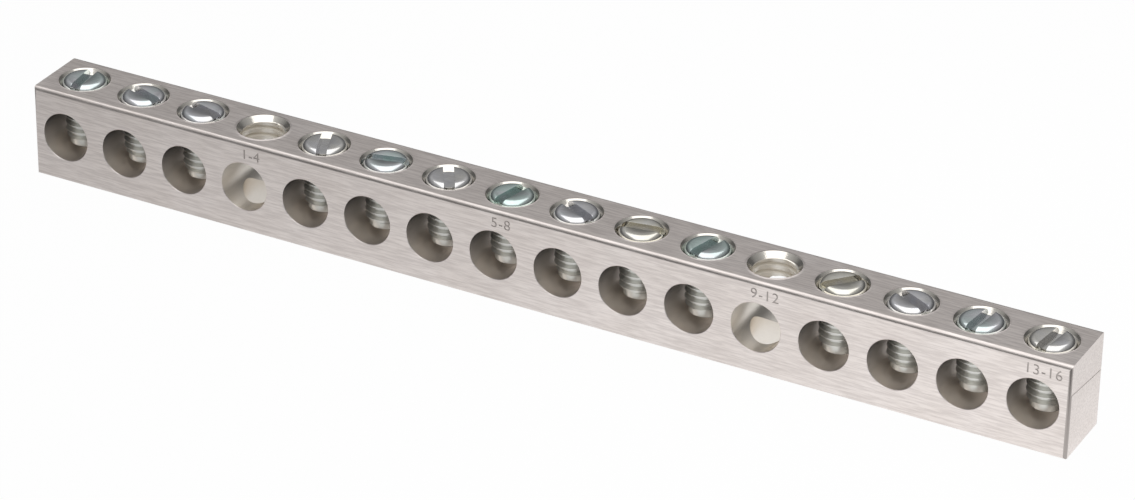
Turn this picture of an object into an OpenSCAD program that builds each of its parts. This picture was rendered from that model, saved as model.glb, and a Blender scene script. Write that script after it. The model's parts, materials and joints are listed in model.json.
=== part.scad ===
// Earth terminal bar: one drilled and tapped aluminium bar with slotted clamping screws.
// Every wire goes in from the front and is clamped from above by its own screw.
// Frame: origin at the middle of the bottom face, +X along the bar, -Y the wire side, +Z up.

/* [Bar] */
// Number of wire positions along the bar
positions = 16; // [12:1:24]
// Distance from one wire position to the next
pitch = 7.9375; // [7.4:0.1:12]
// Distance from the left end to the first wire position
left_margin = 4.1; // [3.7:0.05:8]
// Distance from the last wire position to the right end
right_margin = 4.1; // [3.7:0.05:8]
// Depth of the bar, from the front face to the back face
bar_depth = 8.65; // [7.6:0.05:12]
// Height of the bar, from the bottom face to the top face
bar_height = 11.05; // [10.8:0.05:14]
// Radius of the two long upper edges of the extruded section
upper_edge_r = 0.5; // [0.1:0.05:0.8]
// Radius of the two long lower edges
lower_edge_r = 0.2; // [0.1:0.05:0.8]
// Radius of the upright edges, where the shears drew the ends in
end_edge_r = 0.35; // [0.1:0.05:0.6]

/* [Wire holes] */
// Diameter of each wire hole
wire_hole_d = 5.85; // [5:0.05:6.2]
// Height of the wire hole axis above the bottom face
wire_hole_z = 5.55; // [4.6:0.05:5.8]
// Width of the broken edge round both mouths of a wire hole
wire_hole_break = 0.06; // [0.05:0.01:0.3]

/* [Screw holes] */
// Diameter of a tapped hole over the crests of its clamping screw
tapped_hole_d = 4.8; // [3.8:0.05:5]
// Diameter of the countersink at the top of each tapped hole
countersink_d = 6.1; // [5.6:0.05:6.8]
// Depth of the countersink
countersink_depth = 0.6; // [0.3:0.05:1]

/* [Mounting positions] */
// First position that has no clamping screw and takes a mounting screw instead
first_mount = 4; // [2:1:5]
// Number of positions from one mounting hole to the next
mount_step = 8; // [4:1:12]
// Diameter of the mounting hole, drilled from the top face right through the floor
mount_hole_d = 4.8; // [3.8:0.05:5]
// Diameter of the 45 degree chamfer at the top of each mounting hole
mount_chamfer_d = 6.1; // [5.6:0.05:6.8]

/* [Terminal screws] */
// Clearance round the screw in its hole, on the radius
thread_play = 0.05; // [0.02:0.01:0.1]
// Diameter of the head, which sits down inside the countersink
head_d = 5.1; // [5:0.05:5.4]
// Height of the head's flat top above the bar
head_rise = 0.3; // [0.2:0.05:0.6]
// Diameter of the flat on top of the head
head_flat_d = 3.6; // [3:0.1:4]
// Height of the head's upright rim, below the rounding
head_rim = 0.12; // [0.05:0.01:0.2]
// Width of the driver slot
slot_w = 1.2; // [0.8:0.05:1.4]
// Depth of the driver slot below the flat
slot_depth = 1; // [0.7:0.05:1.1]
// Gap from the screw's point to the floor of the wire hole, with the head home
point_gap = 0.75; // [0.3:0.05:2]
// Diameter of the smooth end below the thread
point_d = 3.8; // [2.6:0.05:4.6]
// Length of the smooth end
point_length = 0.7; // [0.4:0.05:1.4]

/* [Hidden] */
$fn = 64;
// overrun of every cut past the face it opens
over = 1;
// cropped to a whole hundredth of a millimetre, so that both ends land on exact coordinates
bar_length = round(100 * (left_margin + (positions - 1) * pitch + right_margin)) / 100;
shank_d = tapped_hole_d - 2 * thread_play;
wire_floor_z = wire_hole_z - wire_hole_d / 2;
point_z = wire_floor_z + point_gap;
top_z = bar_height;
// angle of each driver slot from the bar's length, in the order of the positions
SLOT_ANGLES = [96, 161, 165, 0, 112, 14, 121, 78, 153, 10, 76, 0, 50, 152, 84, 83];
MOUNTS = [for (p = [first_mount:mount_step:positions]) p];
TERMINALS = [for (p = [1:positions]) if (len([for (m = MOUNTS) if (m == p) m]) == 0) p];

// how high above the bar the underside of a head runs at radius r, just clear of the countersink
function seat_z(r) =
    thread_play - countersink_depth
    + (r - tapped_hole_d / 2) * countersink_depth / ((countersink_d - tapped_hole_d) / 2);
// top of the head's upright rim, measured up from the bar's top face
rim_z = seat_z(head_d / 2) + head_rim;

function position_x(p) = left_margin - bar_length / 2 + (p - 1) * pitch;
function screw_name(p) = str("terminal_screw_", p < 10 ? "0" : "", p);
function slot_angle(p) = SLOT_ANGLES[(p - 1) % len(SLOT_ANGLES)];

// a rectangle that stands on the origin, with true arcs of one radius below and another above
module soft_rectangle(w, h, lower_r, upper_r) {
    translate([-w / 2, lower_r]) square([w, h - lower_r - upper_r]);
    translate([lower_r - w / 2, 0]) square([w - 2 * lower_r, h / 2]);
    translate([upper_r - w / 2, h / 2]) square([w - 2 * upper_r, h / 2]);
    for (side = [-1, 1]) {
        translate([side * (w / 2 - lower_r), lower_r]) circle(lower_r);
        translate([side * (w / 2 - upper_r), h - upper_r]) circle(upper_r);
    }
}

// the extruded section run along X, and the plan that rounds the upright edges of its ends
module blank() {
    intersection() {
        translate([-bar_length / 2, 0, 0])
            rotate([90, 0, 90])
                linear_extrude(bar_length)
                    soft_rectangle(bar_depth, bar_height, lower_edge_r, upper_edge_r);
        translate([0, -bar_depth / 2, 0])
            linear_extrude(bar_height)
                soft_rectangle(bar_length, bar_depth, end_edge_r, end_edge_r);
    }
}

// a wire hole drilled from front to back, with both mouths broken
module wire_hole() {
    translate([0, 0, wire_hole_z]) {
        rotate([90, 0, 0]) cylinder(d = wire_hole_d, h = bar_depth + 2 * over, center = true);
        for (side = [-1, 1])
            rotate([side * 90, 0, 0])
                translate([0, 0, bar_depth / 2 - wire_hole_break])
                    cylinder(
                        r1 = wire_hole_d / 2,
                        r2 = wire_hole_d / 2 + wire_hole_break + over,
                        h = wire_hole_break + over
                    );
    }
}

// the tapped hole from the countersink down into the wire hole
module screw_hole() {
    translate([0, 0, wire_hole_z]) cylinder(d = tapped_hole_d, h = top_z - wire_hole_z + over);
    slope = (countersink_d - tapped_hole_d) / 2 / countersink_depth;
    translate([0, 0, top_z - countersink_depth])
        cylinder(
            r1 = tapped_hole_d / 2,
            r2 = countersink_d / 2 + over * slope,
            h = countersink_depth + over
        );
}

// the mounting hole right through the bar, with its chamfer on the top face
module mount_hole() {
    translate([0, 0, -over]) cylinder(d = mount_hole_d, h = top_z + 2 * over);
    chamfer = (mount_chamfer_d - mount_hole_d) / 2;
    translate([0, 0, top_z - chamfer])
        cylinder(r1 = mount_hole_d / 2, r2 = mount_chamfer_d / 2 + over, h = chamfer + over);
}

module bar() {
    color("silver")
        difference() {
            blank();
            for (p = [1:positions]) translate([position_x(p), 0, 0]) wire_hole();
            for (p = TERMINALS) translate([position_x(p), 0, 0]) screw_hole();
            for (p = MOUNTS) translate([position_x(p), 0, 0]) mount_hole();
        }
}

// the head: a flat, a wide rounding down to a short rim, and a cone that seats in the countersink
module head() {
    half_flat = head_flat_d / 2;
    half_head = head_d / 2;
    // the arc that leaves the flat level and ends on the rim
    reach = half_head - half_flat;
    drop = head_rise - rim_z;
    round_r = (reach * reach + drop * drop) / 2 / drop;
    translate([0, 0, top_z])
        rotate_extrude() {
            square([half_flat, head_rise]);
            intersection() {
                translate([half_flat, head_rise - round_r]) circle(round_r);
                translate([0, rim_z]) square([half_head, head_rise - rim_z]);
            }
            polygon([
                [0, seat_z(shank_d / 2)],
                [shank_d / 2, seat_z(shank_d / 2)],
                [half_head, seat_z(half_head)],
                [half_head, rim_z],
                [0, rim_z]
            ]);
        }
}

module terminal_screw(p) {
    // where the 45 degree lead-in above the smooth end reaches the full shank
    thread_z = point_z + point_length + (shank_d - point_d) / 2;
    color("lightgray")
        translate([position_x(p), 0, 0])
            difference() {
                union() {
                    head();
                    // the shank runs up inside the head, as far as its rim
                    translate([0, 0, thread_z]) cylinder(d = shank_d, h = top_z + rim_z - thread_z);
                    translate([0, 0, point_z + point_length])
                        cylinder(d1 = point_d, d2 = shank_d, h = thread_z - point_z - point_length);
                    translate([0, 0, point_z]) cylinder(d = point_d, h = point_length);
                }
                translate([0, 0, top_z + head_rise - slot_depth + over])
                    rotate(slot_angle(p))
                        cube([head_d + 2 * over, slot_w, 2 * over], center = true);
            }
}

bar();
for (p = TERMINALS)
    terminal_screw(p);
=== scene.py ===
import json
import math

import bpy
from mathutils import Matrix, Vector


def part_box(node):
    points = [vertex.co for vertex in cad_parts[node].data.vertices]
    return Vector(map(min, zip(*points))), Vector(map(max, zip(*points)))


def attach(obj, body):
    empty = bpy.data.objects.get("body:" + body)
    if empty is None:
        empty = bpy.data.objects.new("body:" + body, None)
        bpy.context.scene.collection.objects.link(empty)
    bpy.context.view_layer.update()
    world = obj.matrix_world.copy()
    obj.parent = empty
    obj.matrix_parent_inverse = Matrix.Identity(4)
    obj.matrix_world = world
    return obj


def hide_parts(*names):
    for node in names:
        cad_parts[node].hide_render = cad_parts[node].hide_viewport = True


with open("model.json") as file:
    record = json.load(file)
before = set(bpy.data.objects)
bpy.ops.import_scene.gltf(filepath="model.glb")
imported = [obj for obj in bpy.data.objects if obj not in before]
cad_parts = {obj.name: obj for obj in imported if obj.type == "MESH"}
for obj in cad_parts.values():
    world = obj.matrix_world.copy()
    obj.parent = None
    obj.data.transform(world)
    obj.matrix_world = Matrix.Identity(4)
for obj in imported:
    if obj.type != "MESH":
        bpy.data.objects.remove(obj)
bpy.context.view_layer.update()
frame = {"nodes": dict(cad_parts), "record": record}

mm = 0.001


# The bar: one length of extruded aluminium, cropped at both ends.
# Sixteen wire holes are drilled through it from front to back and sixteen screw holes from above.
# It carries everything else, and two of its positions are left open: the bar is mounted through them.

bar_low, bar_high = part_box("bar")
bar_middle = (bar_low + bar_high) / 2
bar_size = bar_high - bar_low
bar_top = bar_high.z
mounts = {m["name"]: m for m in frame["record"]["mounts"]}
screw_names = sorted(name for name in frame["nodes"] if name.startswith("terminal_screw"))
screw_x = {name: sum(corner.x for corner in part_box(name)) / 2 for name in screw_names}
pitch = screw_x[screw_names[1]] - screw_x[screw_names[0]]
position_count = len(screw_names) + mounts["mounting_holes"]["dims"]["count"]
position_x = [screw_x[screw_names[0]] + pitch * step for step in range(position_count)]
mount_x = [x for x in position_x if all(abs(x - taken) > pitch / 2 for taken in screw_x.values())]

wire_hole = mounts["wire_hole_01"]
wire_hole_r = wire_hole["dims"]["r_mm"] * mm
wire_hole_z = wire_hole["pos_m"][2]
mount_hole_r = mounts["mounting_holes"]["dims"]["hole_r_mm"] * mm

upper_edge_r = 0.5 * mm
lower_edge_r = 0.2 * mm
end_edge_r = 0.35 * mm
mouth_break = 0.06 * mm
tapped_hole_r = 2.4 * mm
countersink_r = 2.95 * mm
countersink_depth = 0.6 * mm
mount_thread_r = 2.75 * mm
mount_thread_pitch = 0.907 * mm
lip_inner_r = 2.6 * mm
lip_r = 3.02 * mm
shear_step = 0.03 * mm
shear_height = 7 * mm
shear_drop = 1 * mm
# how far every cut runs past the face that it opens
past = 1 * mm
hole_sides = 96


def deselect_all():
    if bpy.context.object and bpy.context.object.mode != "OBJECT":
        bpy.ops.object.mode_set(mode="OBJECT")
    bpy.ops.object.select_all(action="DESELECT")


def take(piece):
    deselect_all()
    piece.select_set(True)
    bpy.context.view_layer.objects.active = piece


def start_edit(kind):
    bpy.ops.object.mode_set(mode="EDIT")
    bpy.ops.mesh.select_mode(type=kind)
    bpy.ops.mesh.select_all(action="DESELECT")
    bpy.ops.object.mode_set(mode="OBJECT")


def apply_place(piece):
    take(piece)
    bpy.ops.object.transform_apply(location=True, rotation=True, scale=True)


def joined(parts):
    deselect_all()
    for part in parts:
        part.select_set(True)
    bpy.context.view_layer.objects.active = parts[0]
    bpy.ops.object.join()
    return bpy.context.object


def combine(piece, tool, operation):
    take(piece)
    step = piece.modifiers.new(operation.lower(), "BOOLEAN")
    step.operation = operation
    step.solver = "MANIFOLD"
    step.object = tool
    bpy.ops.object.modifier_apply(modifier=step.name)
    bpy.data.objects.remove(tool)


def bevel_edges(piece, chosen, width, segments):
    """Rounds the edges whose two ends both satisfy the chosen test."""
    take(piece)
    start_edit("EDGE")
    points = [vertex.co.copy() for vertex in piece.data.vertices]
    for edge in piece.data.edges:
        edge.select = chosen(points[edge.vertices[0]], points[edge.vertices[1]])
    bpy.ops.object.mode_set(mode="EDIT")
    bpy.ops.mesh.bevel(offset=width, segments=segments, affect="EDGES")
    bpy.ops.object.mode_set(mode="OBJECT")


def tapered_cylinder(low_r, high_r, low_z, high_z, x=0.0):
    deselect_all()
    bpy.ops.mesh.primitive_cone_add(
        vertices=hole_sides, radius1=low_r, radius2=high_r, depth=high_z - low_z,
        location=(x, 0, (low_z + high_z) / 2),
    )
    apply_place(bpy.context.object)
    return bpy.context.object


def outline(name, points):
    """An open line of edges through points (radius, height), drawn in the XZ plane.

    It grows from a single vertex, which is extruded from each point to the next.
    """
    deselect_all()
    bpy.ops.mesh.primitive_plane_add(size=mm)
    piece = bpy.context.object
    piece.name = name
    bpy.ops.object.mode_set(mode="EDIT")
    bpy.ops.mesh.select_mode(type="VERT")
    bpy.ops.mesh.merge(type="CENTER")
    at = Vector((points[0][0], 0, points[0][1]))
    bpy.ops.transform.translate(value=at)
    for radius, height in points[1:]:
        step = Vector((radius, 0, height)) - at
        bpy.ops.mesh.extrude_region_move(TRANSFORM_OT_translate={"value": step})
        at += step
    bpy.ops.object.mode_set(mode="OBJECT")
    return piece


def spun(piece, sides):
    """The outline turned once round the Z axis and closed into a solid."""
    take(piece)
    bpy.ops.object.mode_set(mode="EDIT")
    bpy.ops.mesh.select_all(action="SELECT")
    bpy.ops.mesh.spin(steps=sides, angle=2 * math.pi, center=(0, 0, 0), axis=(0, 0, 1))
    bpy.ops.mesh.select_all(action="SELECT")
    bpy.ops.mesh.remove_doubles(threshold=1e-7)
    bpy.ops.mesh.normals_make_consistent(inside=False)
    bpy.ops.object.mode_set(mode="OBJECT")
    return piece


def threaded_rod(name, crest_r, root_r, lead, low_z, high_z, sides):
    """A right-hand screw thread as a closed solid.

    It is a helix a turn or more too long at both ends, cut off square at the two heights.
    """
    # one turn of the thread, from root to root: each share of the lead with its radius
    profile = [
        (0.0, root_r), (0.12, root_r), (0.44, crest_r),
        (0.56, crest_r), (0.88, root_r), (1.0, root_r),
    ]
    piece = outline(name, [(radius, low_z + (share - 2) * lead) for share, radius in profile])
    take(piece)
    helix = piece.modifiers.new("helix", "SCREW")
    helix.axis = "Z"
    helix.angle = 2 * math.pi
    helix.screw_offset = lead
    helix.iterations = math.ceil((high_z - low_z) / lead) + 3
    helix.steps = sides
    helix.render_steps = sides
    bpy.ops.object.modifier_apply(modifier="helix")
    bpy.ops.object.mode_set(mode="EDIT")
    bpy.ops.mesh.select_all(action="SELECT")
    bpy.ops.mesh.remove_doubles(threshold=1e-6)
    bpy.ops.mesh.normals_make_consistent(inside=False)
    for height, upward in ((low_z, -1), (high_z, 1)):
        bpy.ops.mesh.select_all(action="SELECT")
        bpy.ops.mesh.bisect(
            plane_co=(0, 0, height), plane_no=(0, 0, upward),
            use_fill=True, clear_outer=True, threshold=1e-8,
        )
    bpy.ops.mesh.select_all(action="SELECT")
    bpy.ops.mesh.normals_make_consistent(inside=False)
    bpy.ops.object.mode_set(mode="OBJECT")
    return piece


# The extruded section is a block with its long edges and its upright end edges rounded.
deselect_all()
bpy.ops.mesh.primitive_cube_add(size=1, location=bar_middle)
bar = bpy.context.object
bar.name = "bar_body"
bar.scale = bar_size
apply_place(bar)
near = 0.01 * mm
bevel_edges(
    bar,
    lambda a, b: abs(a.x - b.x) > pitch and min(a.z, b.z) > bar_top - near,
    upper_edge_r, 6,
)
bevel_edges(
    bar,
    lambda a, b: abs(a.x - b.x) > pitch and max(a.z, b.z) < bar_low.z + near,
    lower_edge_r, 4,
)

# The shears drew the upright edges of both ends in, so the block is cut to a plan with round corners.
deselect_all()
bpy.ops.mesh.primitive_cube_add(size=1, location=bar_middle)
plan = bpy.context.object
plan.scale = (bar_size.x, bar_size.y, bar_size.z + 2 * past)
apply_place(plan)
bevel_edges(
    plan,
    lambda a, b: abs(a.z - b.z) > bar_size.z,
    end_edge_r, 5,
)
combine(bar, plan, "INTERSECT")

# The right end broke away from the shears along a line across its middle, a little lower at the back.
slant = math.atan(-shear_drop / bar_size.y)
deselect_all()
bpy.ops.mesh.primitive_cube_add(
    size=1,
    location=(
        bar_high.x - shear_step + past, -math.sin(slant) * bar_size.z,
        shear_height + math.cos(slant) * bar_size.z,
    ),
    rotation=(slant, 0, 0),
)
broken = bpy.context.object
broken.scale = (2 * past, 2 * bar_size.y, 2 * bar_size.z)
apply_place(broken)
combine(bar, broken, "DIFFERENCE")

# A low lip of metal stands round every hole in the top face, thrown up by the drill and the tap.
lip_root_z = bar_top - 0.3 * mm
lips = []
for x in position_x:
    # the tap of an open mounting position leaves a wider and higher lip
    lip_w, lip_height = (0.3 * mm, 0.06 * mm) if x in mount_x else (0.12 * mm, 0.02 * mm)
    lip = spun(
        outline(
            "lip",
            [
                (lip_inner_r, lip_root_z),
                (lip_inner_r, bar_top + lip_height),
                (lip_r, bar_top + lip_height),
                (lip_r + 0.3 * lip_w, bar_top + 0.8 * lip_height),
                (lip_r + 0.6 * lip_w, bar_top + 0.35 * lip_height),
                (lip_r + lip_w, bar_top - 0.01 * mm),
                (lip_r + lip_w, lip_root_z),
                (lip_inner_r, lip_root_z),
            ],
        ),
        hole_sides,
    )
    lip.location.x = x
    apply_place(lip)
    lips.append(lip)
combine(bar, joined(lips), "UNION")

# The wire holes: one drill for each, with a short flare at both mouths where the burr was broken.
drills = []
for x in position_x:
    deselect_all()
    bpy.ops.mesh.primitive_cylinder_add(
        vertices=hole_sides, radius=wire_hole_r, depth=bar_size.y - 2 * mouth_break,
        location=(x, bar_middle.y, wire_hole_z), rotation=(math.pi / 2, 0, 0),
    )
    drill = bpy.context.object
    apply_place(drill)
    for side in (-1, 1):
        take(drill)
        start_edit("FACE")
        for face in drill.data.polygons:
            face.select = face.normal.y * side > 0.9
        bpy.ops.object.mode_set(mode="EDIT")
        bpy.ops.mesh.extrude_region_move(
            TRANSFORM_OT_translate={"value": (0, side * (mouth_break + past), 0)}
        )
        flare = (wire_hole_r + mouth_break + past) / wire_hole_r
        bpy.ops.transform.resize(value=(flare, 1, flare), center_override=(x, 0, wire_hole_z))
        bpy.ops.object.mode_set(mode="OBJECT")
    drills.append(drill)
combine(bar, joined(drills), "DIFFERENCE")

# The screw holes: a bore over the thread's crests, and a countersink that seats the head.
countersink_slope = (countersink_r - tapped_hole_r) / countersink_depth
for x in screw_x.values():
    bore = tapered_cylinder(tapped_hole_r, tapped_hole_r, wire_hole_z, bar_top + past, x)
    combine(bar, bore, "DIFFERENCE")
    countersink = tapered_cylinder(
        tapped_hole_r, countersink_r + past * countersink_slope,
        bar_top - countersink_depth, bar_top + past, x,
    )
    combine(bar, countersink, "DIFFERENCE")

# The mounting positions: one drilled hole right through, chamfered and tapped from the top.
chamfer = countersink_r - mount_hole_r
for x in mount_x:
    bore = tapered_cylinder(mount_hole_r, mount_hole_r, bar_low.z - past, bar_top + past, x)
    combine(bar, bore, "DIFFERENCE")
    # the tap's roots lie inside the bore, so that only its crests cut
    tap = threaded_rod(
        "tap", mount_thread_r, mount_hole_r - 0.2 * mm, mount_thread_pitch,
        wire_hole_z, bar_top - chamfer * 0.8, hole_sides,
    )
    tap.location.x = x
    apply_place(tap)
    combine(bar, tap, "DIFFERENCE")
    chamfered = tapered_cylinder(
        mount_hole_r, countersink_r + past, bar_top - chamfer, bar_top + past, x
    )
    combine(bar, chamfered, "DIFFERENCE")

# Plain position numbers, the first and last of each group of four, are stamped near the top edge.
number_height = 1.2 * mm
number_depth = 0.05 * mm
number_shift = 0.95 * mm
number_base = bar_top - 1.95 * mm
# the height of a digit as a share of the size of the text
digit_share = 0.7
stamps = []
for last in range(4, position_count + 1, 4):
    deselect_all()
    bpy.ops.object.text_add(
        location=(position_x[last - 1] + number_shift, bar_low.y - number_depth, number_base),
        rotation=(math.pi / 2, 0, 0),
    )
    stamp = bpy.context.object
    stamp.data.body = f"{last - 3}-{last}"
    stamp.data.align_x = "CENTER"
    stamp.data.size = number_height / digit_share
    stamp.data.space_character = 1.1
    stamp.data.extrude = 2 * number_depth
    bpy.ops.object.convert(target="MESH")
    apply_place(stamp)
    bpy.ops.object.mode_set(mode="EDIT")
    bpy.ops.mesh.select_all(action="SELECT")
    bpy.ops.mesh.remove_doubles(threshold=1e-7)
    bpy.ops.mesh.normals_make_consistent(inside=False)
    bpy.ops.object.mode_set(mode="OBJECT")
    stamps.append(stamp)
combine(bar, joined(stamps), "DIFFERENCE")

take(bar)
bpy.ops.object.shade_smooth_by_angle(angle=math.radians(35))
even = bar.modifiers.new("even", "WEIGHTED_NORMAL")
even.keep_sharp = True
even.weight = 100
bpy.ops.object.modifier_apply(modifier="even")

# Faces that a drill or a tap left are marked, and so are those painted darker:
# the stamped numbers, with painted shade in their recesses, and the front edge that the shears drew in
# at the right end.
# Light falls in through the open mounting positions, whose walls are painted lighter for it.
marks = {}
for mark in ("drilled", "tapped", "darkened"):
    marks[mark] = bar.data.attributes.new(mark, "FLOAT", "FACE").data
number_skin = bar_low.y + 1.1 * number_depth
wall_play = 0.03 * mm
for face in bar.data.polygons:
    at = face.center
    nearest = min(position_x, key=lambda x: abs(x - at.x))
    off_wall = abs(math.hypot(at.x - nearest, at.z - wire_hole_z) - wire_hole_r)
    on_wire_wall = off_wall < wall_play and abs(face.normal.y) < 0.5
    in_screw_hole = math.hypot(at.x - nearest, at.y) < countersink_r and abs(face.normal.z) < 0.95
    in_number = bar_low.y + near < at.y < number_skin and 0 < at.z - number_base < number_height
    is_open = nearest in mount_x
    if on_wire_wall or (in_screw_hole and at.z < wire_hole_z):
        # painted light: at an open position the wall mixes in less of the dark roof and more of the pale
        # tapped colour, for the light that falls in from above
        marks["drilled"][face.index].value = 0.6 if is_open else 1
        marks["tapped"][face.index].value = 0.7 if is_open else 0
    elif in_screw_hole and at.z < bar_top - near:
        marks["tapped"][face.index].value = 1
        if is_open and at.z < bar_top - countersink_depth:
            marks["drilled"][face.index].value = 0.6
    elif in_number:
        # painted shade in the stamped recesses
        marks["darkened"][face.index].value = 1
    elif at.x > bar_high.x - end_edge_r and face.normal.x > 0.05 and face.normal.y < -0.05:
        # painted darker along the front corner of the right end
        marks["darkened"][face.index].value = 1


def handling_marks():
    """A mask of fine crossed scratches and soft smudges, shared by the bar and its screws."""
    group = bpy.data.node_groups.new("handling_marks", "ShaderNodeTree")
    group.interface.new_socket("Scratches", in_out="OUTPUT", socket_type="NodeSocketFloat")
    group.interface.new_socket("Smudges", in_out="OUTPUT", socket_type="NodeSocketFloat")
    inner = group.nodes
    wires = group.links
    ends = inner.new("NodeGroupOutput")
    spot = inner.new("ShaderNodeTexCoord")
    turned = inner.new("ShaderNodeMapping")
    turned.inputs["Rotation"].default_value = (0.4, 0.7, 0.5)
    turned.inputs["Scale"].default_value = (0.06, 1, 1)
    wires.new(spot.outputs["Object"], turned.inputs["Vector"])
    hair = inner.new("ShaderNodeTexNoise")
    hair.inputs["Scale"].default_value = 2600
    hair.inputs["Detail"].default_value = 2
    wires.new(turned.outputs["Vector"], hair.inputs["Vector"])
    sparse = inner.new("ShaderNodeMapRange")
    sparse.inputs["From Min"].default_value = 0.62
    sparse.inputs["From Max"].default_value = 0.72
    wires.new(hair.outputs["Fac"], sparse.inputs["Value"])
    wires.new(sparse.outputs["Result"], ends.inputs["Scratches"])
    cloud = inner.new("ShaderNodeTexNoise")
    cloud.inputs["Scale"].default_value = 160
    cloud.inputs["Detail"].default_value = 5
    wires.new(spot.outputs["Object"], cloud.inputs["Vector"])
    wires.new(cloud.outputs["Fac"], ends.inputs["Smudges"])
    return group


marks_group = handling_marks()

aluminium = bpy.data.materials.new("bar_aluminium")
aluminium.use_nodes = True
nodes = aluminium.node_tree.nodes
links = aluminium.node_tree.links
finish = nodes["Principled BSDF"]
place = nodes.new("ShaderNodeTexCoord")
along = nodes.new("ShaderNodeMapping")
along.inputs["Scale"].default_value = (0.07, 1, 1)
links.new(place.outputs["Object"], along.inputs["Vector"])
die_lines = nodes.new("ShaderNodeTexNoise")
die_lines.inputs["Scale"].default_value = 5000
die_lines.inputs["Detail"].default_value = 6
die_lines.inputs["Roughness"].default_value = 0.65
links.new(along.outputs["Vector"], die_lines.inputs["Vector"])
handled = nodes.new("ShaderNodeGroup")
handled.node_tree = marks_group
spread = nodes.new("ShaderNodeMapRange")
spread.inputs["From Min"].default_value = 0.4
spread.inputs["From Max"].default_value = 0.6
links.new(die_lines.outputs["Fac"], spread.inputs["Value"])
drawn = nodes.new("ShaderNodeMix")
drawn.data_type = "RGBA"
drawn.inputs["A"].default_value = (0.81, 0.75, 0.725, 1)
drawn.inputs["B"].default_value = (1, 0.935, 0.905, 1)
links.new(spread.outputs["Result"], drawn.inputs["Factor"])
cloudy = nodes.new("ShaderNodeMix")
cloudy.data_type = "RGBA"
cloudy.blend_type = "MULTIPLY"
cloudy.inputs["Factor"].default_value = 1
links.new(drawn.outputs["Result"], cloudy.inputs["A"])
cloud_tone = nodes.new("ShaderNodeMix")
cloud_tone.data_type = "RGBA"
cloud_tone.inputs["A"].default_value = (0.86, 0.84, 0.82, 1)
cloud_tone.inputs["B"].default_value = (1, 1, 1, 1)
links.new(handled.outputs["Smudges"], cloud_tone.inputs["Factor"])
links.new(cloud_tone.outputs["Result"], cloudy.inputs["B"])
cut = nodes.new("ShaderNodeAttribute")
cut.attribute_name = "drilled"
# the roof of a wire hole is torn rougher than its floor, and its wall is painted with shade: light low
# down, near black at the roof
spot = nodes.new("ShaderNodeSeparateXYZ")
links.new(place.outputs["Object"], spot.inputs["Vector"])
upper = nodes.new("ShaderNodeMapRange")
upper.inputs["From Min"].default_value = wire_hole_z - 1.8 * mm
upper.inputs["From Max"].default_value = wire_hole_z + 1.4 * mm
links.new(spot.outputs["Z"], upper.inputs["Value"])
# painted shade: the drilled wall's colour goes from light at the floor to near black at the roof
wall = nodes.new("ShaderNodeMix")
wall.data_type = "RGBA"
wall.inputs["A"].default_value = (0.92, 0.84, 0.77, 1)
wall.inputs["B"].default_value = (0.09, 0.078, 0.07, 1)
links.new(upper.outputs["Result"], wall.inputs["Factor"])
bored = nodes.new("ShaderNodeMix")
bored.data_type = "RGBA"
links.new(wall.outputs["Result"], bored.inputs["B"])
links.new(cut.outputs["Fac"], bored.inputs["Factor"])
links.new(cloudy.outputs["Result"], bored.inputs["A"])
tap_cut = nodes.new("ShaderNodeAttribute")
tap_cut.attribute_name = "tapped"
threaded = nodes.new("ShaderNodeMix")
threaded.data_type = "RGBA"
threaded.inputs["B"].default_value = (0.94, 0.9, 0.83, 1)
links.new(tap_cut.outputs["Fac"], threaded.inputs["Factor"])
links.new(bored.outputs["Result"], threaded.inputs["A"])
dark_mask = nodes.new("ShaderNodeAttribute")
dark_mask.attribute_name = "darkened"
# painted dark: shade in the stamped numbers, and the right end's front corner
dark_fill = nodes.new("ShaderNodeMix")
dark_fill.data_type = "RGBA"
dark_fill.inputs["B"].default_value = (0.46, 0.42, 0.4, 1)
links.new(dark_mask.outputs["Fac"], dark_fill.inputs["Factor"])
links.new(threaded.outputs["Result"], dark_fill.inputs["A"])
links.new(dark_fill.outputs["Result"], finish.inputs["Base Color"])
dull = nodes.new("ShaderNodeMapRange")
dull.inputs["To Min"].default_value = 0.3
dull.inputs["To Max"].default_value = 0.42
links.new(die_lines.outputs["Fac"], dull.inputs["Value"])
wall_dull = nodes.new("ShaderNodeMapRange")
wall_dull.inputs["To Min"].default_value = 0.34
wall_dull.inputs["To Max"].default_value = 0.85
links.new(upper.outputs["Result"], wall_dull.inputs["Value"])
bore_dull = nodes.new("ShaderNodeMix")
links.new(wall_dull.outputs["Result"], bore_dull.inputs["B"])
links.new(cut.outputs["Fac"], bore_dull.inputs["Factor"])
links.new(dull.outputs["Result"], bore_dull.inputs["A"])
# the countersink's cut is brighter than the thread below it
seat = nodes.new("ShaderNodeMapRange")
seat.inputs["From Min"].default_value = bar_top - countersink_depth - 0.02 * mm
seat.inputs["From Max"].default_value = bar_top - countersink_depth
seat.inputs["To Min"].default_value = 0.26
seat.inputs["To Max"].default_value = 0.1
links.new(spot.outputs["Z"], seat.inputs["Value"])
tap_dull = nodes.new("ShaderNodeMix")
links.new(seat.outputs["Result"], tap_dull.inputs["B"])
links.new(tap_cut.outputs["Fac"], tap_dull.inputs["Factor"])
links.new(bore_dull.outputs["Result"], tap_dull.inputs["A"])
links.new(tap_dull.outputs["Result"], finish.inputs["Roughness"])
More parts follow.
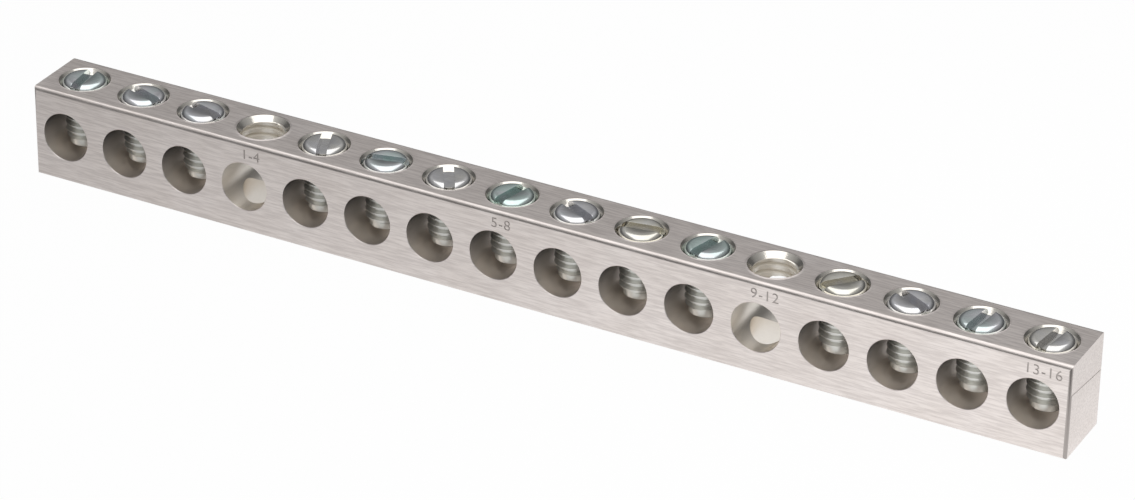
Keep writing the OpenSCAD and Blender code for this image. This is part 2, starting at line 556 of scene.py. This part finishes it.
# the torn surface of a drilled wall scatters part of its light, and the roof, painted dark for shade,
# all of it
bare = nodes.new("ShaderNodeMapRange")
bare.inputs["To Min"].default_value = 0.82
bare.inputs["To Max"].default_value = 0
links.new(upper.outputs["Result"], bare.inputs["Value"])
scatter = nodes.new("ShaderNodeMix")
scatter.inputs["A"].default_value = 1
links.new(cut.outputs["Fac"], scatter.inputs["Factor"])
links.new(bare.outputs["Result"], scatter.inputs["B"])
links.new(scatter.outputs["Result"], finish.inputs["Metallic"])
height = nodes.new("ShaderNodeMath")
height.operation = "MULTIPLY_ADD"
height.inputs[1].default_value = -0.5
links.new(handled.outputs["Scratches"], height.inputs[0])
links.new(die_lines.outputs["Fac"], height.inputs[2])
relief = nodes.new("ShaderNodeBump")
relief.inputs["Strength"].default_value = 0.3
relief.inputs["Distance"].default_value = 0.03 * mm
links.new(height.outputs["Value"], relief.inputs["Height"])
links.new(relief.outputs["Normal"], finish.inputs["Normal"])
bar.data.materials.clear()
bar.data.materials.append(aluminium)
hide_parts("bar")
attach(bar, "bar")


# The fourteen clamping screws: cold-headed steel, thread rolled, bright zinc plated.
# Each has a small rounded head with a straight slot, which sits down inside its own countersink.
# Turned home by hand, so no two slots point the same way.

screw_low, screw_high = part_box(screw_names[0])
head_r = (screw_high.x - screw_low.x) / 2
head_top = screw_high.z
point_z = screw_low.z
head_flat_r = 1.8 * mm
head_rim = 0.12 * mm
seat_play = 0.05 * mm
slot_width = 1.2 * mm
slot_depth = 1 * mm
screw_crest_r = 2.35 * mm
screw_root_r = 1.88 * mm
screw_pitch = 0.794 * mm
point_r = 1.9 * mm
point_length = 0.7 * mm
slot_angles = dict(zip(screw_names, (96, 161, 165, 112, 14, 121, 78, 153, 10, 76, 50, 152, 84, 83)))
# how warm the plating's tint is, from blue green through a faint violet to straw yellow
tints = dict(zip(screw_names, (0.15, 0.3, 0.35, 0.6, 0.25, 0.5, 0, 0.4, 0.9, 0.05, 0.85, 0.4, 0.2, 0.6)))

# The head: a cone clear of the countersink, a short rim, and an arc from there up to the small flat.
seat_z = bar_top + seat_play - countersink_depth
rim_z = seat_z + (head_r - tapped_hole_r) / countersink_slope
root_z = seat_z + (screw_root_r - tapped_hole_r) / countersink_slope
reach = head_r - head_flat_r
drop = head_top - rim_z - head_rim
shoulder_r = (reach ** 2 + drop ** 2) / 2 / drop
shoulder_steps = 10
shoulder = []
for step in range(shoulder_steps + 1):
    tilt = math.asin(reach / shoulder_r) * (1 - step / shoulder_steps)
    radius = head_flat_r + shoulder_r * math.sin(tilt)
    shoulder.append((radius, head_top - shoulder_r * (1 - math.cos(tilt))))
cone = [(0, root_z), (screw_root_r, root_z), (head_r, rim_z)]
screw = spun(outline("terminal_screw", cone + shoulder + [(0, head_top)]), hole_sides)

deselect_all()
bpy.ops.mesh.primitive_cube_add(size=1, location=(0, 0, head_top - slot_depth + past))
slot_tool = bpy.context.object
slot_tool.scale = (3 * head_r, slot_width, 2 * past)
apply_place(slot_tool)
combine(screw, slot_tool, "DIFFERENCE")
take(screw)
edge_break = screw.modifiers.new("edge_break", "BEVEL")
edge_break.width = 0.07 * mm
edge_break.segments = 3
edge_break.limit_method = "ANGLE"
edge_break.angle_limit = math.radians(40)
bpy.ops.object.modifier_apply(modifier="edge_break")

# The shank: a core with a smooth end, and the rolled thread that runs out just above it.
core = spun(
    outline(
        "core",
        [
            (0, point_z),
            (point_r - 0.1 * mm, point_z),
            (point_r, point_z + 0.1 * mm),
            (point_r, point_z + point_length),
            (screw_root_r, point_z + point_length + 0.1 * mm),
            (screw_root_r, bar_top - 0.3 * mm),
            (0, bar_top - 0.3 * mm),
        ],
    ),
    hole_sides,
)
thread = threaded_rod(
    "thread", screw_crest_r, screw_root_r - 0.05 * mm, screw_pitch,
    point_z + 0.3 * mm, bar_top - 0.9 * mm, hole_sides,
)
envelope = spun(
    outline(
        "envelope",
        [
            (0, point_z),
            (point_r - 0.02 * mm, point_z),
            (point_r - 0.02 * mm, point_z + point_length),
            (screw_crest_r, point_z + point_length + 0.45 * mm),
            (screw_crest_r, bar_top - 0.4 * mm),
            (0, bar_top - 0.4 * mm),
        ],
    ),
    hole_sides,
)
combine(thread, envelope, "INTERSECT")
combine(core, thread, "UNION")
combine(screw, core, "UNION")
take(screw)
bpy.ops.object.shade_smooth_by_angle(angle=math.radians(32))
even = screw.modifiers.new("even", "WEIGHTED_NORMAL")
even.keep_sharp = True
even.weight = 60
bpy.ops.object.modifier_apply(modifier="even")

zinc = bpy.data.materials.new("screw_zinc")
zinc.use_nodes = True
nodes = zinc.node_tree.nodes
links = zinc.node_tree.links
finish = nodes["Principled BSDF"]
place = nodes.new("ShaderNodeTexCoord")
bloom = nodes.new("ShaderNodeTexNoise")
bloom.inputs["Scale"].default_value = 1100
bloom.inputs["Detail"].default_value = 5
links.new(place.outputs["Object"], bloom.inputs["Vector"])
batch = nodes.new("ShaderNodeAttribute")
batch.attribute_name = "tint"
drift = nodes.new("ShaderNodeTexNoise")
drift.inputs["Scale"].default_value = 420
links.new(place.outputs["Object"], drift.inputs["Vector"])
hue = nodes.new("ShaderNodeMath")
hue.operation = "MULTIPLY_ADD"
hue.inputs[1].default_value = 0.9
links.new(drift.outputs["Fac"], hue.inputs[0])
links.new(batch.outputs["Fac"], hue.inputs[2])
film = nodes.new("ShaderNodeMapRange")
film.inputs["From Min"].default_value = 0.4
film.inputs["From Max"].default_value = 1.4
links.new(hue.outputs["Value"], film.inputs["Value"])
plated = nodes.new("ShaderNodeValToRGB")
films = plated.color_ramp.elements
films[0].color = (0.7, 0.84, 0.81, 1)
films[1].color = (0.88, 0.85, 0.76, 1)
films.new(0.4).color = (0.83, 0.83, 0.87, 1)
links.new(film.outputs["Result"], plated.inputs["Fac"])
mottled = nodes.new("ShaderNodeMix")
mottled.data_type = "RGBA"
mottled.blend_type = "MULTIPLY"
mottled.inputs["Factor"].default_value = 1
links.new(plated.outputs["Color"], mottled.inputs["A"])
mottle = nodes.new("ShaderNodeMapRange")
mottle.inputs["To Min"].default_value = 0.82
mottle.inputs["To Max"].default_value = 1.12
links.new(bloom.outputs["Fac"], mottle.inputs["Value"])
links.new(mottle.outputs["Result"], mottled.inputs["B"])
handled = nodes.new("ShaderNodeGroup")
handled.node_tree = marks_group
dull = nodes.new("ShaderNodeMapRange")
dull.inputs["To Min"].default_value = 0.11
dull.inputs["To Max"].default_value = 0.2
links.new(handled.outputs["Smudges"], dull.inputs["Value"])
# the rolled thread below the head is rougher than the head
spot = nodes.new("ShaderNodeSeparateXYZ")
links.new(place.outputs["Object"], spot.inputs["Vector"])
below = nodes.new("ShaderNodeMath")
below.operation = "LESS_THAN"
below.inputs[1].default_value = bar_top - countersink_depth
links.new(spot.outputs["Z"], below.inputs[0])
rolled = nodes.new("ShaderNodeMix")
rolled.inputs["B"].default_value = 0.3
links.new(below.outputs["Value"], rolled.inputs["Factor"])
links.new(dull.outputs["Result"], rolled.inputs["A"])
links.new(rolled.outputs["Result"], finish.inputs["Roughness"])
scatter = nodes.new("ShaderNodeMapRange")
scatter.inputs["To Min"].default_value = 1
scatter.inputs["To Max"].default_value = 0.75
links.new(below.outputs["Value"], scatter.inputs["Value"])
links.new(scatter.outputs["Result"], finish.inputs["Metallic"])
# painted light: below the head the thread is given a paler, untinted grey, which brightens it inside the
# shaded wire hole
shank_painted_paler = nodes.new("ShaderNodeMix")
shank_painted_paler.data_type = "RGBA"
shank_painted_paler.inputs["B"].default_value = (0.86, 0.86, 0.82, 1)
links.new(below.outputs["Value"], shank_painted_paler.inputs["Factor"])
links.new(mottled.outputs["Result"], shank_painted_paler.inputs["A"])
links.new(shank_painted_paler.outputs["Result"], finish.inputs["Base Color"])
height = nodes.new("ShaderNodeMath")
height.operation = "MULTIPLY_ADD"
height.inputs[1].default_value = -0.3
links.new(handled.outputs["Scratches"], height.inputs[0])
links.new(bloom.outputs["Fac"], height.inputs[2])
relief = nodes.new("ShaderNodeBump")
relief.inputs["Strength"].default_value = 0.2
relief.inputs["Distance"].default_value = 0.03 * mm
links.new(height.outputs["Value"], relief.inputs["Height"])
links.new(relief.outputs["Normal"], finish.inputs["Normal"])
screw.data.materials.clear()
screw.data.materials.append(zinc)

for name in screw_names:
    copy = bpy.data.objects.new(name.replace("terminal_screw", "clamping_screw"), screw.data.copy())
    bpy.context.scene.collection.objects.link(copy)
    copy.rotation_euler.z = math.radians(slot_angles[name])
    copy.location.x = screw_x[name]
    apply_place(copy)
    plating = copy.data.attributes.new("tint", "FLOAT", "FACE")
    plating.data.foreach_set("value", [tints[name]] * len(copy.data.polygons))
    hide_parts(name)
    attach(copy, name)
bpy.data.objects.remove(screw)


# The stage: a sheet of white paper that the bar lies on.
# Its tone is painted light: brightest round the bar, a little less so to the left and past the right
# end, and falling off away from it.
# Nothing of it belongs to the bar.

deselect_all()
bpy.ops.mesh.primitive_plane_add(size=3, location=(0, 0, 0))
paper = bpy.context.object
paper.name = "paper"
apply_place(paper)
white = bpy.data.materials.new("paper_white")
white.use_nodes = True
nodes = white.node_tree.nodes
links = white.node_tree.links
nodes.clear()
shown = nodes.new("ShaderNodeOutputMaterial")
place = nodes.new("ShaderNodeTexCoord")
squeezed = nodes.new("ShaderNodeMapping")
squeezed.inputs["Location"].default_value = (0, 0.04, 0)
squeezed.inputs["Scale"].default_value = (0.6, 1, 1)
links.new(place.outputs["Object"], squeezed.inputs["Vector"])
distance = nodes.new("ShaderNodeVectorMath")
distance.operation = "LENGTH"
links.new(squeezed.outputs["Vector"], distance.inputs[0])
painted_falloff = nodes.new("ShaderNodeMapRange")
painted_falloff.interpolation_type = "SMOOTHSTEP"
painted_falloff.inputs["From Min"].default_value = 0.08
painted_falloff.inputs["From Max"].default_value = 0.22
painted_falloff.inputs["To Min"].default_value = 1
painted_falloff.inputs["To Max"].default_value = 0.12
links.new(distance.outputs["Value"], painted_falloff.inputs["Value"])
sides = nodes.new("ShaderNodeSeparateXYZ")
links.new(place.outputs["Object"], sides.inputs["Vector"])
leftward = nodes.new("ShaderNodeMapRange")
leftward.inputs["From Min"].default_value = -0.09
leftward.inputs["From Max"].default_value = 0.05
leftward.inputs["To Min"].default_value = 0.5
leftward.inputs["To Max"].default_value = 1
links.new(sides.outputs["X"], leftward.inputs["Value"])
rightward = nodes.new("ShaderNodeMapRange")
rightward.inputs["From Min"].default_value = bar_high.x
rightward.inputs["From Max"].default_value = bar_high.x + 10 * mm
rightward.inputs["To Min"].default_value = 1
rightward.inputs["To Max"].default_value = 0.82
links.new(sides.outputs["X"], rightward.inputs["Value"])
sideward = nodes.new("ShaderNodeMath")
sideward.operation = "MULTIPLY"
links.new(leftward.outputs["Result"], sideward.inputs[0])
links.new(rightward.outputs["Result"], sideward.inputs[1])
# the paper's tone is a painted pool of light round the bar, darker away from it, to the left and past
# the right end
painted_light_pool = nodes.new("ShaderNodeMath")
painted_light_pool.operation = "MULTIPLY"
links.new(painted_falloff.outputs["Result"], painted_light_pool.inputs[0])
links.new(sideward.outputs["Value"], painted_light_pool.inputs[1])
matt = nodes.new("ShaderNodeBsdfDiffuse")
links.new(painted_light_pool.outputs["Value"], matt.inputs["Color"])
glow = nodes.new("ShaderNodeEmission")
links.new(painted_light_pool.outputs["Value"], glow.inputs["Color"])
plain = nodes.new("ShaderNodeEmission")
path = nodes.new("ShaderNodeLightPath")
mirrored = nodes.new("ShaderNodeMath")
mirrored.operation = "MAXIMUM"
links.new(path.outputs["Is Glossy Ray"], mirrored.inputs[0])
links.new(path.outputs["Is Transmission Ray"], mirrored.inputs[1])
mirror_share = nodes.new("ShaderNodeMath")
mirror_share.operation = "MULTIPLY"
mirror_share.inputs[1].default_value = 0.97
links.new(mirrored.outputs["Value"], mirror_share.inputs[0])
in_metal = nodes.new("ShaderNodeMixShader")
links.new(mirror_share.outputs["Value"], in_metal.inputs["Fac"])
links.new(matt.outputs["BSDF"], in_metal.inputs[1])
links.new(glow.outputs["Emission"], in_metal.inputs[2])
# the small rest in view is matt paper, which keeps the bar's shadow
view_share = nodes.new("ShaderNodeMath")
view_share.operation = "MULTIPLY"
view_share.inputs[1].default_value = 0.98
links.new(path.outputs["Is Camera Ray"], view_share.inputs[0])
in_view = nodes.new("ShaderNodeMixShader")
links.new(view_share.outputs["Value"], in_view.inputs["Fac"])
links.new(in_metal.outputs["Shader"], in_view.inputs[1])
links.new(plain.outputs["Emission"], in_view.inputs[2])
links.new(in_view.outputs["Shader"], shown.inputs["Surface"])
paper.data.materials.append(white)


# The light: one long soft box overhead, in line with the view.
# Round it is a dim room that is paler higher up and darker to both sides.

view_turn = math.radians(28.236)
toward_view = 0.07
box_height = 0.62
deselect_all()
bpy.ops.object.light_add(
    type="AREA",
    location=(toward_view * math.sin(view_turn), -toward_view * math.cos(view_turn), box_height),
    rotation=(0, 0, view_turn),
)
top_box = bpy.context.object
top_box.name = "top_box"
top_box.data.shape = "RECTANGLE"
top_box.data.size = 0.8
top_box.data.size_y = 1.1
top_box.data.energy = 1.9

room = bpy.data.worlds.new("room")
bpy.context.scene.world = room
room.use_nodes = True
nodes = room.node_tree.nodes
links = room.node_tree.links
toward = nodes.new("ShaderNodeTexCoord")
split = nodes.new("ShaderNodeSeparateXYZ")
links.new(toward.outputs["Generated"], split.inputs["Vector"])
by_height = nodes.new("ShaderNodeValToRGB")
links.new(split.outputs["Z"], by_height.inputs["Fac"])
bands = by_height.color_ramp.elements
bands[0].position = 0.1
bands[0].color = (0.13, 0.13, 0.13, 1)
bands[1].position = 1
bands[1].color = (0.64, 0.64, 0.64, 1)
for share, tone in ((0.36, 0.17), (0.5, 0.36), (0.75, 0.56)):
    bands.new(share).color = (tone, tone, tone, 1)
frontward = nodes.new("ShaderNodeMapRange")
frontward.inputs["From Min"].default_value = -0.6
frontward.inputs["From Max"].default_value = 0.3
frontward.inputs["To Min"].default_value = 1.2
frontward.inputs["To Max"].default_value = 1
links.new(split.outputs["Y"], frontward.inputs["Value"])
dimmed = nodes.new("ShaderNodeMix")
dimmed.data_type = "RGBA"
dimmed.blend_type = "MULTIPLY"
dimmed.inputs["Factor"].default_value = 1
links.new(by_height.outputs["Color"], dimmed.inputs["A"])
links.new(frontward.outputs["Result"], dimmed.inputs["B"])
# to both sides of the view the room is dark
across = nodes.new("ShaderNodeVectorMath")
across.operation = "DOT_PRODUCT"
across.inputs[1].default_value = (math.cos(view_turn), math.sin(view_turn), 0)
links.new(toward.outputs["Generated"], across.inputs[0])
sideways = nodes.new("ShaderNodeMath")
sideways.operation = "ABSOLUTE"
links.new(across.outputs["Value"], sideways.inputs[0])
narrowed = nodes.new("ShaderNodeMapRange")
narrowed.interpolation_type = "SMOOTHSTEP"
narrowed.inputs["From Min"].default_value = 0.25
narrowed.inputs["From Max"].default_value = 0.8
narrowed.inputs["To Min"].default_value = 1
narrowed.inputs["To Max"].default_value = 0.6
links.new(sideways.outputs["Value"], narrowed.inputs["Value"])
room_light = nodes.new("ShaderNodeMix")
room_light.data_type = "RGBA"
room_light.blend_type = "MULTIPLY"
room_light.inputs["Factor"].default_value = 1
links.new(dimmed.outputs["Result"], room_light.inputs["A"])
links.new(narrowed.outputs["Result"], room_light.inputs["B"])
# looked at directly, it is as white as the paper
path = nodes.new("ShaderNodeLightPath")
backdrop = nodes.new("ShaderNodeMix")
backdrop.data_type = "RGBA"
backdrop.inputs["B"].default_value = (1, 1, 1, 1)
links.new(path.outputs["Is Camera Ray"], backdrop.inputs["Factor"])
links.new(room_light.outputs["Result"], backdrop.inputs["A"])
links.new(backdrop.outputs["Result"], nodes["Background"].inputs["Color"])


# The camera: a long lens, above and to the right of the bar's wire side.
# It is turned a little about its own axis, as it was held for the photograph.

bpy.ops.object.camera_add(location=(0.20181, -0.37754, 0.24192))
camera = bpy.context.object
camera.rotation_euler = (math.radians(61.062), math.radians(-0.824), view_turn)
camera.data.lens = 142.29
camera.data.sensor_width = 36
camera.data.clip_start = 0.01
bpy.context.scene.camera = camera
bpy.context.scene.view_settings.view_transform = "Standard"
